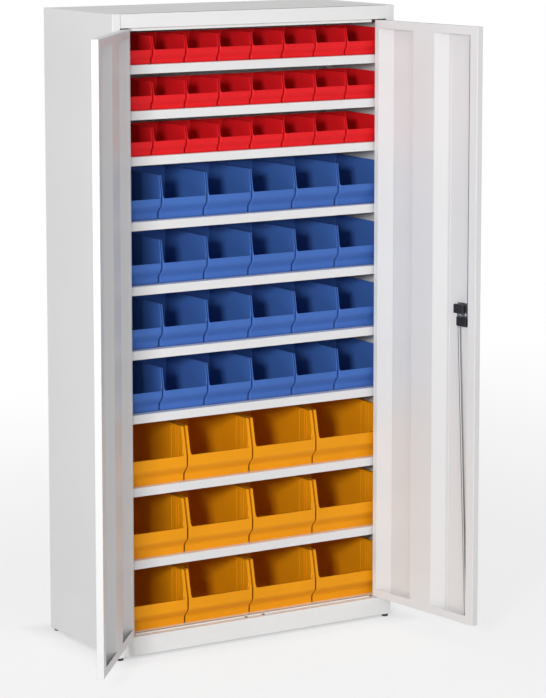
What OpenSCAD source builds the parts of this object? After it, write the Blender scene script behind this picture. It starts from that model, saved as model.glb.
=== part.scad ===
// Parts bin cabinet: a two-door sheet-metal cabinet with nine shelves and ten rows of open-front bins.
// Millimetres. X to the right, -Y to the front, Z up.
// The origin is on the floor under the middle of the carcass.
// The doors are drawn open, the lock unlocked and the bins pushed in.

/* [Cabinet] */
// Width over the side panels
body_w = 920; // [915:5:1000]
// Depth over the carcass
body_d = 400; // [395:5:480]
// Height from the floor to the top sheet
body_h = 1800; // [1790:10:2000]
// Thickness of the folded carcass sheet
sheet = 1; // [0.8:0.1:1.2]
// Width of the stile on the front of a side panel
stile_w = 25; // [23:1:26]
// Height of the band above the doors
band_h = 39; // [30:1:45]
// Height of the plinth above the feet
plinth_h = 54; // [48:1:64]
// Height of a foot
foot_h = 8; // [6:1:12]
// Diameter of a foot
foot_d = 20; // [16:1:20]

/* [Doors] */
// Thickness of a door
door_t = 20; // [18:0.5:20]
// Angle at which the left door stands open
left_angle = 130; // [60:1:135]
// Angle at which the right door stands open
right_angle = 97; // [60:0.1:135]
// Width of the flat return along a door's hinge edge
hinge_return = 17; // [17:1:24]
// Width of the return along a door's free edge
free_return = 30; // [28:0.5:36.5]
// Height of the returns at a door's top and bottom
end_return = 24; // [15:1:40]
// Diameter of a hinge pin
pin_d = 6; // [5:0.5:6]

/* [Lock] */
// Height of the spindle above the floor
lock_z = 947; // [850:1:1050]
// Distance of the spindle from the door's free edge
lock_back = 58.5; // [58.5:0.5:62.5]
// Radius from the spindle to a cam pin, which is also the rods' stroke
cam_r = 20; // [18:1:20]
// Diameter of a lock rod
rod_d = 8; // [6:1:8]
// Length of the handle lever from the spindle
lever_l = 112; // [90:1:130]

/* [Shelves] */
// Height from one yellow shelf to the next
yellow_rise = 207; // [207:9:234]
// Height from one blue shelf to the next
blue_rise = 180; // [162:9:180]
// Height from one red shelf to the next
red_rise = 126; // [117:9:126]
// Height of the strip on the front of a shelf
strip_h = 25; // [20:1:30]

/* [Red bins] */
// Room between an end red bin and the side panel
red_room = 36.5; // [33:0.5:56]
// Depth of a red bin
red_d = 163; // [150:1:180]
// Height of a red bin
red_h = 77; // [70:1:80]
// Height of a red bin's front lip
red_lip = 40; // [35:1:48]

/* [Blue bins] */
// Room between an end blue bin and the side panel
blue_room = 22; // [22:0.5:40]
// Depth of a blue bin
blue_d = 236; // [220:1:260]
// Height of a blue bin
blue_h = 123.5; // [110:0.5:125]
// Height of a blue bin's front lip
blue_lip = 60; // [55:1:70]

/* [Yellow bins] */
// Room between an end yellow bin and the side panel
yellow_room = 31.5; // [28:0.5:50]
// Depth of a yellow bin
yellow_d = 346; // [300:1:350]
// Height of a yellow bin
yellow_h = 157; // [140:1:165]
// Height of a yellow bin's front lip
yellow_lip = 75; // [70:1:90]

/* [Fits] */
// Radial clearance of a pin that turns in its bore
run_fit = 0.05; // [0.02:0.01:0.1]
// Gap between a bin and the shelf it slides on
glide = 0.05; // [0.02:0.01:0.1]
// Gap between two parts that pass each other
pass_gap = 0.2; // [0.1:0.05:0.3]

/* [Hidden] */
eps = 0.5;
round_fn = 32;
small_fn = 20;

// Carcass
hw = body_w / 2;
hd = body_d / 2;
inner_x = hw - sheet;
stile_x = hw - stile_w;
ledge_depth = 22;
ledge_y = -hd + ledge_depth;
plinth_z = foot_h + plinth_h;
band_z = body_h - band_h;
riser_h = 3;
floor_z = plinth_z + riser_h;
stop_drop = 9.5;
notch_in = 62;
notch_x = hw - notch_in;
notch_y = ledge_y + 4;
back_flange = 20;
bottom_flange = 35;
rear_flange_h = 34;
top_flange_h = 30;
foot_in = 14;
foot_x = hw - foot_in;
foot_from_front = 10;
foot_from_rear = 17;
foot_y = [-hd + foot_from_front, hd - foot_from_rear];
foot_taper = 2;
stud_d = 6;
stud_l = 16;
buffer_x = 29;
buffer_d = 8.5;
buffer_stem_d = 4;
buffer_stem_l = 4;
buffer_gap = 0.3;
buffer_y = ledge_y - buffer_d / 2 - buffer_gap;

// Hinges and doors
hinge_in = 39;
hinge_x = hw - hinge_in;
hinge_back = 5.5;
hinge_y = -hd + hinge_back;
pin_r = pin_d / 2;
pin_in = 11;
pin_head_gap = 0.2;
pin_head_r = hinge_back - sheet - pin_head_gap;
pin_head_h = 2;
spacer_w = 20;
spacer_front = hinge_back;
spacer_rear = 9.5;
spacer_low = 2;
spacer_high = 3;
sleeve_r = 4.4;
sleeve_l = 12;
door_sheet = 1;
web_run = 45;
rib_end_gap = 2;
door_z0 = plinth_z + spacer_low;
door_z1 = band_z - spacer_high;
rib_z0 = door_z0 + door_sheet + rib_end_gap;
rib_l = door_z1 - door_z0 - 2 * (door_sheet + rib_end_gap);
door_s0 = -12;
door_gap = 1.5;
door_s1 = hinge_x - door_gap;
door_out = -hinge_back;
door_in = door_out + door_t;
skin_in = door_out + door_sheet;
hat_foot = 10;
hat_s0 = 142;
hat_s1 = 150;
hat_s2 = 240;
hat_s3 = 284;

// Lock, in the door's own axes: s from the hinge, off from the hinge plane towards the inside
lock_s = door_s1 - lock_back;
guide_s = lock_s + cam_r;
rod_r = rod_d / 2;
rod_off = 4.2;
rod_flat_t = 3;
rod_flat_w = 10;
rod_flat_l = 38;
rod_lap = 5;
rod_eye_r = 6;
rod_tip = 3;
slot_play = 5;
keeper_play = 2;
plate_t = 2;
plate_w = 60;
plate_h = 68;
plate_s0 = lock_s - 32;
plate_z0 = lock_z - 34;
cam_off = 0;
cam_t = 2.5;
cam_half = 7;
cam_hub_r = 9;
cam_pin_r = 3;
cam_pin_end = 6.4;
spindle_r = 5;
spindle_head_r = 7;
spindle_head_t = 2;
spindle_out = 20;
cover_off0 = 7;
cover_off1 = 16.5;
cover_post_r = 3;
cover1 = [lock_s - 30, lock_z + 5, 39, 26];
cover2 = [lock_s - 18, lock_z - 30, 39.5, 26];
post1 = [lock_s - 26, lock_z + 27];
post2 = [lock_s + 18, lock_z - 26];
lock_screws_at = [[lock_s - 27, lock_z - 29], [lock_s + 24, lock_z + 29]];
screw_r = 2;
screw_head_r = 3.5;
screw_head_t = 1.6;
rose_r = 21;
rose_t = 3;
hub_r = 16;
lever_w = 20;
lever_tip_w = 15;
lever_t = 9;
lever_gap = 12;
plug_r = 8;
plug_depth = 14;
key_w = 1.6;
key_h = 9;
key_depth = 8;

// Shelves, rails and clips
shelf_in = 15;
shelf_x = hw - shelf_in;
shelf_set = 4;
shelf_front = ledge_y + shelf_set;
shelf_rear_gap = 6;
shelf_back = hd - shelf_rear_gap;
shelf_skirt = 15;
shelf_hem = 12;
yellow_2 = floor_z + yellow_rise;
yellow_1 = yellow_2 + yellow_rise;
blue_4 = yellow_1 + yellow_rise;
blue_3 = blue_4 + blue_rise;
blue_2 = blue_3 + blue_rise;
blue_1 = blue_2 + blue_rise;
red_3 = blue_1 + blue_rise;
red_2 = red_3 + red_rise;
red_1 = red_2 + red_rise;
shelf_z = [red_1, red_2, red_3, blue_1, blue_2, blue_3, blue_4, yellow_1, yellow_2];
red_z = [red_1, red_2, red_3];
blue_z = [blue_1, blue_2, blue_3, blue_4];
yellow_z = [yellow_1, yellow_2, floor_z];
rail_in = 13;
rail_x = hw - rail_in;
rail_t = 1;
rail_w = 30;
rail_foot = 9;
rail_from_front = 60;
rail_from_rear = 50;
rail_y = [-hd + rail_from_front, hd - rail_from_rear];
rail_below_top = 12;
rail_top = body_h - rail_below_top;
slot_pitch = 18;
slot_w = 6;
slot_h = 9;
slot_start = 34;
slot_first = floor_z + slot_start;
slot_count = floor((rail_top - slot_first - slot_h) / slot_pitch);
clip_w = 14;
clip_t = 2;
clip_ledge = 14;
clip_hook = 5;
clip_tail = 4;
clip_below = 22;

// Bins: 0 red, 1 blue, 2 yellow
bin_back = 6;
bin_front = ledge_y + bin_back;
bin_gap = [3, 2, 5];
bin_cols = [8, 6, 4];
bin_room = [red_room, blue_room, yellow_room];
bin_w = [for (k = [0 : 2]) (2 * (inner_x - bin_room[k]) + bin_gap[k]) / bin_cols[k] - bin_gap[k]];
bin_d = [red_d, blue_d, yellow_d];
bin_h = [red_h, blue_h, yellow_h];
bin_lip = [red_lip, blue_lip, yellow_lip];
bin_band = [15, 19, 33];
bin_slant = [12, 21, 21];
bin_set = [10, 20, 20];
bin_rim_set = [10, 12, 18];
bin_wall = [1.8, 2.2, 2.6];
bin_over = [0.8, 1, 6];
bin_roll = [4, 5, 8];
bin_colors = ["#d9343a", "#4570b8", "#f0a218"];
roll_t = 1.4;
rim_t = 2;

paint = "#dcdcda";
steel = "#a9adb0";
black = "#1d1d1f";

// ---- helpers

// A box between two opposite corners
module span(a, b) {
    translate([min(a[0], b[0]), min(a[1], b[1]), min(a[2], b[2])])
        cube([abs(b[0] - a[0]), abs(b[1] - a[1]), abs(b[2] - a[2])]);
}

// The same thing on both sides of the cabinet
module both() {
    children();
    mirror([1, 0, 0])
        children();
}

// From a door's own axes to where the door stands
module door_place(side, angle) {
    translate([side * hinge_x, hinge_y, 0])
        rotate([0, 0, side * angle])
            scale([-side, 1, 1])
                children();
}

// A round bar along the off axis of a door
module off_bar(s, z, off0, off1, r, fn) {
    translate([s, off1, z])
        rotate([90, 0, 0])
            cylinder(h = off1 - off0, r = r, $fn = fn);
}

// A long hole along X with round ends, cut upwards
module long_hole(x, y, z0, z1, r, play) {
    span([x - play, y - r, z0], [x + play, y + r, z1]);
    for (side = [-1, 1])
        translate([x + side * play, y, z0])
            cylinder(h = z1 - z0, r = r, $fn = small_fn);
}

// ---- carcass

module side_sheet() {
    difference() {
        union() {
            span([hw, -hd, foot_h], [inner_x, hd, body_h]);
            span([hw, -hd, foot_h], [stile_x, -hd + sheet, body_h]);
            span([stile_x + sheet, -hd, foot_h + sheet], [stile_x, ledge_y, body_h - sheet]);
            span([hw, hd - sheet, foot_h], [hw - back_flange, hd, body_h]);
            span([hw, -hd + sheet, foot_h], [hw - bottom_flange, hd, foot_h + sheet]);
        }
        for (y = foot_y)
            translate([foot_x, y, foot_h - eps])
                cylinder(h = sheet + 2 * eps, d = stud_d, $fn = small_fn);
    }
}

module left_side_panel() {
    color(paint)
        mirror([1, 0, 0])
            side_sheet();
}

module right_side_panel() {
    color(paint)
        side_sheet();
}

module back_panel() {
    color(paint)
        span([-inner_x, hd - 2 * sheet, foot_h + rear_flange_h], [inner_x, hd - sheet, body_h - sheet]);
}

// The holes that both ledges share: for the hinge pins and for the rods
module ledge_holes(z) {
    both() {
        translate([hinge_x, hinge_y, z - eps])
            cylinder(h = sheet + 2 * eps, r = pin_r, $fn = round_fn);
        long_hole(hinge_x - guide_s, hinge_y + rod_off, z - eps, z + sheet + eps,
            rod_r + keeper_play, slot_play);
    }
}

module top_panel() {
    color(paint)
        difference() {
            union() {
                span([-inner_x, -hd + sheet, body_h - sheet], [inner_x, hd - sheet, body_h]);
                span([-stile_x, -hd, band_z], [stile_x, -hd + sheet, body_h]);
                span([-stile_x, -hd, band_z], [stile_x, ledge_y + sheet, band_z + sheet]);
                span([-notch_x, ledge_y, band_z - stop_drop], [notch_x, ledge_y + sheet, band_z + sheet]);
                span([-hw + back_flange, hd - sheet, body_h - top_flange_h],
                    [hw - back_flange, hd, body_h]);
            }
            ledge_holes(band_z);
        }
}

module base_panel() {
    color(paint)
        difference() {
            union() {
                span([-stile_x, -hd, foot_h], [stile_x, -hd + sheet, plinth_z]);
                span([-stile_x, -hd, plinth_z - sheet], [stile_x, ledge_y + sheet, plinth_z]);
                span([-notch_x, ledge_y, plinth_z - sheet], [notch_x, ledge_y + sheet, floor_z]);
                span([-notch_x, ledge_y, floor_z - sheet], [notch_x, hd - 2 * sheet, floor_z]);
                span([-inner_x, notch_y, floor_z - sheet], [inner_x, hd - 2 * sheet, floor_z]);
                span([-inner_x, hd - 3 * sheet, foot_h + rear_flange_h],
                    [inner_x, hd - 2 * sheet, floor_z]);
            }
            ledge_holes(plinth_z - sheet);
            both()
                translate([buffer_x, buffer_y, plinth_z - sheet - eps])
                    cylinder(h = sheet + 2 * eps, d = buffer_stem_d, $fn = small_fn);
        }
}

module feet() {
    color(black)
        both()
            for (y = foot_y)
                translate([foot_x, y, 0]) {
                    cylinder(h = foot_h, d1 = foot_d - foot_taper, d2 = foot_d, $fn = round_fn);
                    cylinder(h = foot_h + stud_l, d = stud_d, $fn = small_fn);
                }
}

module rail(y) {
    difference() {
        union() {
            span([rail_x, y - rail_w / 2, floor_z], [inner_x, y + rail_w / 2, rail_top]);
            span([inner_x - rail_t, y - rail_w / 2 - rail_foot, floor_z],
                [inner_x, y + rail_w / 2 + rail_foot, rail_top]);
        }
        span([rail_x + rail_t, y - rail_w / 2 + rail_t, floor_z - eps],
            [inner_x + eps, y + rail_w / 2 - rail_t, rail_top + eps]);
        for (i = [0 : slot_count])
            span([rail_x - eps, y - slot_w / 2, slot_first + i * slot_pitch],
                [rail_x + rail_t + eps, y + slot_w / 2, slot_first + i * slot_pitch + slot_h]);
    }
}

module shelf_rails() {
    color(paint)
        both()
            for (y = rail_y)
                rail(y);
}

// A clip under the skirt of the shelf whose top is at z, hooked in the nearest slot below
module clip(y, z) {
    under = z - shelf_skirt;
    slot_i = floor((z - clip_below - slot_h - slot_first) / slot_pitch);
    slot_z = slot_first + slot_i * slot_pitch;
    translate([rail_x, y, 0]) {
        span([-clip_ledge, -clip_w / 2, under - clip_t], [0, clip_w / 2, under]);
        span([-clip_t, -clip_w / 2, slot_z - clip_tail], [0, clip_w / 2, under]);
        span([-clip_t, -slot_w / 2 + pass_gap, slot_z + pass_gap],
            [rail_t + pass_gap + clip_t, slot_w / 2 - pass_gap, slot_z + clip_hook]);
        span([rail_t + pass_gap, -slot_w / 2 + pass_gap, slot_z - clip_tail],
            [rail_t + pass_gap + clip_t, slot_w / 2 - pass_gap, slot_z + clip_hook]);
    }
}

module shelf_clips() {
    color(steel)
        both()
            for (y = rail_y)
                for (z = shelf_z)
                    clip(y, z);
}

module shelf(i) {
    z = shelf_z[i];
    color(paint)
        union() {
            span([-shelf_x, shelf_front, z - sheet], [shelf_x, shelf_back, z]);
            span([-shelf_x, shelf_front, z - strip_h], [shelf_x, shelf_front + sheet, z]);
            span([-shelf_x, shelf_front, z - strip_h], [shelf_x, shelf_front + shelf_hem, z - strip_h + sheet]);
            span([-shelf_x, shelf_back - sheet, z - strip_h], [shelf_x, shelf_back, z]);
            both()
                span([shelf_x - sheet, shelf_front, z - shelf_skirt], [shelf_x, shelf_back, z]);
        }
}

module shelf_1() {
    shelf(0);
}

module shelf_2() {
    shelf(1);
}

module shelf_3() {
    shelf(2);
}

module shelf_4() {
    shelf(3);
}

module shelf_5() {
    shelf(4);
}

module shelf_6() {
    shelf(5);
}

module shelf_7() {
    shelf(6);
}

module shelf_8() {
    shelf(7);
}

module shelf_9() {
    shelf(8);
}

// ---- hinges and stops

module hinge_pins() {
    color(steel)
        both()
            translate([hinge_x, hinge_y, 0]) {
                translate([0, 0, plinth_z - sheet - pin_head_h])
                    cylinder(h = pin_head_h, r = pin_head_r, $fn = round_fn);
                translate([0, 0, plinth_z - sheet - pin_head_h])
                    cylinder(h = pin_head_h + sheet + spacer_low + pin_in, r = pin_r, $fn = round_fn);
                translate([0, 0, band_z + sheet])
                    cylinder(h = pin_head_h, r = pin_head_r, $fn = round_fn);
                translate([0, 0, door_z1 - pin_in])
                    cylinder(h = pin_in + spacer_high + sheet + pin_head_h, r = pin_r, $fn = round_fn);
            }
}

module spacer(z0, z1) {
    difference() {
        span([hinge_x - spacer_w / 2, hinge_y - spacer_front, z0],
            [hinge_x + spacer_w / 2, hinge_y + spacer_rear, z1]);
        translate([hinge_x, hinge_y, z0 - eps])
            cylinder(h = z1 - z0 + 2 * eps, r = pin_r, $fn = round_fn);
    }
}

module hinge_spacers() {
    color(black)
        both() {
            spacer(plinth_z, door_z0 - pass_gap);
            spacer(door_z1 + pass_gap, band_z);
        }
}

module door_buffers() {
    color(black)
        both()
            translate([buffer_x, buffer_y, 0]) {
                translate([0, 0, plinth_z])
                    cylinder(h = spacer_low - buffer_gap, d = buffer_d, $fn = round_fn);
                translate([0, 0, plinth_z - buffer_stem_l])
                    cylinder(h = buffer_stem_l + sheet, d = buffer_stem_d, $fn = small_fn);
            }
}

// ---- doors, in a door's own axes

module door_tray() {
    difference() {
        span([door_s0, door_out, door_z0], [door_s1, door_in, door_z1]);
        span([door_s0 + door_sheet, skin_in, door_z0 + door_sheet],
            [door_s1 - door_sheet, door_in - door_sheet, door_z1 - door_sheet]);
        span([door_s0 + hinge_return, door_in - door_sheet - eps, door_z0 + end_return],
            [door_s1 - free_return, door_in + eps, door_z1 - end_return]);
        for (z = [door_z0 - eps, door_z1 - door_sheet - eps])
            translate([0, 0, z])
                cylinder(h = door_sheet + 2 * eps, r = pin_r + run_fit, $fn = round_fn);
    }
    hinge_web();
}

// The slanted web that closes the hinge return against the door's skin
module hinge_web() {
    s = door_s0 + hinge_return;
    translate([0, 0, rib_z0])
        linear_extrude(height = rib_l)
            polygon([[s - door_sheet, door_in], [s, door_in], [s + web_run, skin_in],
                [s + web_run - 2 * door_sheet, skin_in - door_sheet / 2],
                [s - door_sheet, door_in - door_sheet]]);
}

module door_hat() {
    top = door_in - door_sheet;
    low = skin_in;
    steep = 0.7 * door_sheet;
    slack = 0.2 * door_sheet;
    outer = [[hat_s0 - hat_foot, low + door_sheet], [hat_s0, low + door_sheet], [hat_s1, top],
        [hat_s2, top], [hat_s3, low + door_sheet], [hat_s3 + hat_foot, low + door_sheet]];
    inner = [[hat_s3 + hat_foot, low], [hat_s3 - slack, low], [hat_s2 - slack, top - door_sheet],
        [hat_s1 + steep, top - door_sheet], [hat_s0 + steep, low], [hat_s0 - hat_foot, low]];
    translate([0, 0, rib_z0])
        linear_extrude(height = rib_l)
            polygon(concat(outer, inner));
}

module sleeves() {
    for (z = [door_z0 + door_sheet, door_z1 - door_sheet - sleeve_l])
        translate([0, 0, z])
            difference() {
                cylinder(h = sleeve_l, r = sleeve_r, $fn = round_fn);
                translate([0, 0, -eps])
                    cylinder(h = sleeve_l + 2 * eps, r = pin_r + run_fit, $fn = round_fn);
            }
}

module left_door_panel() {
    color(paint)
        door_place(-1, left_angle)
            door_tray();
}

module left_door_stiffener() {
    color(paint)
        door_place(-1, left_angle)
            door_hat();
}

module left_hinge_sleeves() {
    color(steel)
        door_place(-1, left_angle)
            sleeves();
}

module right_door_panel() {
    color(paint)
        door_place(1, right_angle)
            difference() {
                door_tray();
                for (z = [door_z0 - eps, door_z1 - door_sheet - eps])
                    long_hole(guide_s, rod_off, z, z + door_sheet + 2 * eps, rod_r + pass_gap, slot_play);
                off_bar(lock_s, lock_z, door_out - eps, skin_in + eps, spindle_r + run_fit, round_fn);
                for (p = lock_screws_at)
                    off_bar(p[0], p[1], door_out - eps, skin_in + eps, screw_r, small_fn);
            }
}

module right_door_stiffener() {
    color(paint)
        door_place(1, right_angle)
            door_hat();
}

module right_hinge_sleeves() {
    color(steel)
        door_place(1, right_angle)
            sleeves();
}

// ---- lock

module lock_plate() {
    color(steel)
        door_place(1, right_angle)
            difference() {
                span([plate_s0, skin_in, plate_z0], [plate_s0 + plate_w, skin_in + plate_t, plate_z0 + plate_h]);
                off_bar(lock_s, lock_z, skin_in - eps, skin_in + plate_t + eps, spindle_r + run_fit, round_fn);
                for (p = lock_screws_at)
                    off_bar(p[0], p[1], skin_in - eps, skin_in + plate_t + eps, screw_r, small_fn);
            }
}

module lock_cover(c, post) {
    span([c[0], cover_off0, c[1]], [c[0] + c[2], cover_off1, c[1] + c[3]]);
    off_bar(post[0], post[1], skin_in + plate_t, cover_off0 + eps, cover_post_r, small_fn);
}

module lock_covers() {
    color(black)
        door_place(1, right_angle) {
            lock_cover(cover1, post1);
            lock_cover(cover2, post2);
        }
}

module lock_screws() {
    color(steel)
        door_place(1, right_angle)
            for (p = lock_screws_at) {
                off_bar(p[0], p[1], door_out, skin_in + plate_t, screw_r, small_fn);
                off_bar(p[0], p[1], skin_in + plate_t, skin_in + plate_t + screw_head_t,
                    screw_head_r, small_fn);
            }
}

module handle_rose() {
    color(black)
        door_place(1, right_angle)
            difference() {
                off_bar(lock_s, lock_z, door_out - rose_t, door_out, rose_r, round_fn);
                off_bar(lock_s, lock_z, door_out - rose_t - eps, door_out + eps,
                    spindle_r + run_fit, round_fn);
            }
}

module lock_spindle() {
    color(steel)
        door_place(1, right_angle) {
            off_bar(lock_s, lock_z, -spindle_out, cam_off + cam_t, spindle_r, round_fn);
            off_bar(lock_s, lock_z, cam_off + cam_t, cam_off + cam_t + spindle_head_t,
                spindle_head_r, round_fn);
        }
}

module lock_cam() {
    color(steel)
        door_place(1, right_angle)
            difference() {
                union() {
                    span([lock_s - cam_r, cam_off, lock_z - cam_half],
                        [lock_s + cam_r, cam_off + cam_t, lock_z + cam_half]);
                    off_bar(lock_s, lock_z, cam_off, cam_off + cam_t, cam_hub_r, round_fn);
                    for (side = [-1, 1]) {
                        off_bar(lock_s + side * cam_r, lock_z, cam_off, cam_off + cam_t, cam_half, round_fn);
                        off_bar(lock_s + side * cam_r, lock_z, cam_off, cam_pin_end, cam_pin_r, round_fn);
                    }
                }
                off_bar(lock_s, lock_z, cam_off - eps, cam_off + cam_t + eps, spindle_r, round_fn);
            }
}

module handle_lever() {
    hub0 = door_out - rose_t - pass_gap;
    color(black)
        door_place(1, right_angle)
            difference() {
                union() {
                    off_bar(lock_s, lock_z, -spindle_out - plug_depth, hub0, hub_r, round_fn);
                    translate([0, hub0 - lever_gap, 0])
                        rotate([90, 0, 0])
                            linear_extrude(height = lever_t)
                                polygon([[lock_s, lock_z - lever_w / 2], [lock_s, lock_z + lever_w / 2],
                                    [lock_s - lever_l, lock_z + lever_tip_w / 2],
                                    [lock_s - lever_l, lock_z - lever_tip_w / 2]]);
                }
                off_bar(lock_s, lock_z, -spindle_out, hub0 + eps, spindle_r, round_fn);
                off_bar(lock_s, lock_z, -spindle_out - plug_depth - eps, -spindle_out,
                    plug_r + run_fit, round_fn);
            }
}

module key_cylinder() {
    plug_end = -spindle_out - plug_depth;
    color(steel)
        door_place(1, right_angle)
            difference() {
                off_bar(lock_s, lock_z, plug_end, -spindle_out - pass_gap, plug_r, round_fn);
                span([lock_s - key_w / 2, plug_end - eps, lock_z - key_h / 2],
                    [lock_s + key_w / 2, plug_end + key_depth, lock_z + key_h / 2]);
            }
}

// A rod from its eye at the origin along -Z, flattened at the eye
module rod(length) {
    difference() {
        union() {
            off_bar(0, 0, rod_off - rod_flat_t / 2, rod_off + rod_flat_t / 2, rod_eye_r, round_fn);
            span([-rod_flat_w / 2, rod_off - rod_flat_t / 2, -rod_flat_l],
                [rod_flat_w / 2, rod_off + rod_flat_t / 2, 0]);
            translate([0, rod_off, -length + rod_tip])
                cylinder(h = length - rod_tip - rod_flat_l + rod_lap, r = rod_r, $fn = round_fn);
            translate([0, rod_off, -length])
                cylinder(h = rod_tip, r1 = rod_r - rod_tip / 2, r2 = rod_r, $fn = round_fn);
        }
        off_bar(0, 0, rod_off - rod_flat_t, rod_off + rod_flat_t, cam_pin_r + run_fit, round_fn);
    }
}

module upper_rod() {
    length = door_z1 - pass_gap - lock_z;
    color(steel)
        door_place(1, right_angle)
            translate([guide_s, 0, lock_z])
                rotate([0, 180, 0])
                    rod(length);
}

module lower_rod() {
    drop = lock_z - door_z0 - 2 * pass_gap;
    color(steel)
        door_place(1, right_angle)
            translate([lock_s - cam_r, 0, lock_z])
                rotate([0, -atan(2 * cam_r / drop), 0])
                    rod(sqrt(drop * drop + 4 * cam_r * cam_r));
}

// ---- bins, in a bin's own axes: X across, Y from the lip's front to the rear, Z from its floor

// The side view: foot, slanted throat, lip band, sloped front edge, rim and rear wall
function bin_outline(k) = [
    [bin_set[k], 0], [bin_d[k], 0], [bin_d[k], bin_h[k]], [bin_rim_set[k], bin_h[k]],
    [0, bin_lip[k]], [0, bin_lip[k] - bin_band[k]],
    [bin_set[k], bin_lip[k] - bin_band[k] - bin_slant[k]]
];

// The strip along the top rim and the sloped front edge, as wide as t
function rim_strip(k, t) = [
    [bin_d[k], bin_h[k]], [bin_rim_set[k], bin_h[k]], [0, bin_lip[k]],
    [t, bin_lip[k]], [bin_rim_set[k] + t, bin_h[k] - t], [bin_d[k], bin_h[k] - t]
];

// The front wall, from the foot to the lip, as thick as t
function front_strip(k, t) = [
    [bin_set[k], 0], [bin_set[k], bin_lip[k] - bin_band[k] - bin_slant[k]],
    [0, bin_lip[k] - bin_band[k]], [0, bin_lip[k]], [t, bin_lip[k]],
    [t, bin_lip[k] - bin_band[k] + t / 2],
    [bin_set[k] + t, bin_lip[k] - bin_band[k] - bin_slant[k] + t / 2], [bin_set[k] + t, 0]
];

// A side-view outline drawn out across X from x0 to x1
module across(x0, x1) {
    translate([x0, 0, 0])
        rotate([90, 0, 90])
            linear_extrude(height = x1 - x0)
                children();
}

module bin(k) {
    w = bin_w[k] / 2;
    body = w - bin_over[k];
    t = bin_wall[k];
    lip = bin_lip[k];
    throat = lip - bin_band[k];
    foot = throat - bin_slant[k];
    color(bin_colors[k])
        union() {
            difference() {
                across(-body, body)
                    polygon(bin_outline(k));
                across(-body + t, body - t)
                    polygon([[bin_set[k] + t, t], [bin_d[k] - t, t], [bin_d[k] - t, bin_h[k] + eps],
                        [-eps, bin_h[k] + eps], [-eps, lip], [t, lip], [t, throat + t / 2],
                        [bin_set[k] + t, foot + t / 2]]);
            }
            across(-w, w)
                polygon(front_strip(k, t));
            both() {
                across(body - t / 2, w)
                    polygon(rim_strip(k, rim_t));
                across(w - roll_t, w)
                    polygon(rim_strip(k, bin_roll[k]));
            }
        }
}

function bin_x(k, col) = (col - (bin_cols[k] - 1) / 2) * (bin_w[k] + bin_gap[k]);

module bins(k, z, cols) {
    for (col = cols)
        translate([bin_x(k, col), bin_front, z + glide])
            bin(k);
}

module red_end_bins() {
    for (z = red_z)
        bins(0, z, [0, 7]);
}

module blue_end_bins() {
    for (z = blue_z)
        bins(1, z, [0, 5]);
}

module yellow_end_bins() {
    for (z = yellow_z)
        bins(2, z, [0, 3]);
}

module red_1_bin() {
    bins(0, red_1, [3]);
}

module red_1_bins() {
    bins(0, red_1, [1, 2, 4, 5, 6]);
}

module red_2_bin() {
    bins(0, red_2, [3]);
}

module red_2_bins() {
    bins(0, red_2, [1, 2, 4, 5, 6]);
}

module red_3_bin() {
    bins(0, red_3, [3]);
}

module red_3_bins() {
    bins(0, red_3, [1, 2, 4, 5, 6]);
}

module blue_1_bin() {
    bins(1, blue_1, [2]);
}

module blue_1_bins() {
    bins(1, blue_1, [1, 3, 4]);
}

module blue_2_bin() {
    bins(1, blue_2, [2]);
}

module blue_2_bins() {
    bins(1, blue_2, [1, 3, 4]);
}

module blue_3_bin() {
    bins(1, blue_3, [2]);
}

module blue_3_bins() {
    bins(1, blue_3, [1, 3, 4]);
}

module blue_4_bin() {
    bins(1, blue_4, [2]);
}

module blue_4_bins() {
    bins(1, blue_4, [1, 3, 4]);
}

module yellow_1_left_bin() {
    bins(2, yellow_1, [1]);
}

module yellow_1_right_bin() {
    bins(2, yellow_1, [2]);
}

module yellow_2_left_bin() {
    bins(2, yellow_2, [1]);
}

module yellow_2_right_bin() {
    bins(2, yellow_2, [2]);
}

module yellow_3_left_bin() {
    bins(2, floor_z, [1]);
}

module yellow_3_right_bin() {
    bins(2, floor_z, [2]);
}

left_side_panel();
right_side_panel();
back_panel();
top_panel();
base_panel();
feet();
shelf_rails();
shelf_clips();
shelf_1();
shelf_2();
shelf_3();
shelf_4();
shelf_5();
shelf_6();
shelf_7();
shelf_8();
shelf_9();
hinge_pins();
hinge_spacers();
door_buffers();
left_door_panel();
left_door_stiffener();
left_hinge_sleeves();
right_door_panel();
right_door_stiffener();
right_hinge_sleeves();
lock_plate();
lock_covers();
lock_screws();
handle_rose();
lock_spindle();
lock_cam();
handle_lever();
key_cylinder();
upper_rod();
lower_rod();
red_end_bins();
blue_end_bins();
yellow_end_bins();
red_1_bin();
red_1_bins();
red_2_bin();
red_2_bins();
red_3_bin();
red_3_bins();
blue_1_bin();
blue_1_bins();
blue_2_bin();
blue_2_bins();
blue_3_bin();
blue_3_bins();
blue_4_bin();
blue_4_bins();
yellow_1_left_bin();
yellow_1_right_bin();
yellow_2_left_bin();
yellow_2_right_bin();
yellow_3_left_bin();
yellow_3_right_bin();
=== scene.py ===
import math

import bmesh
import bpy
from mathutils import Matrix, Vector

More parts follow.
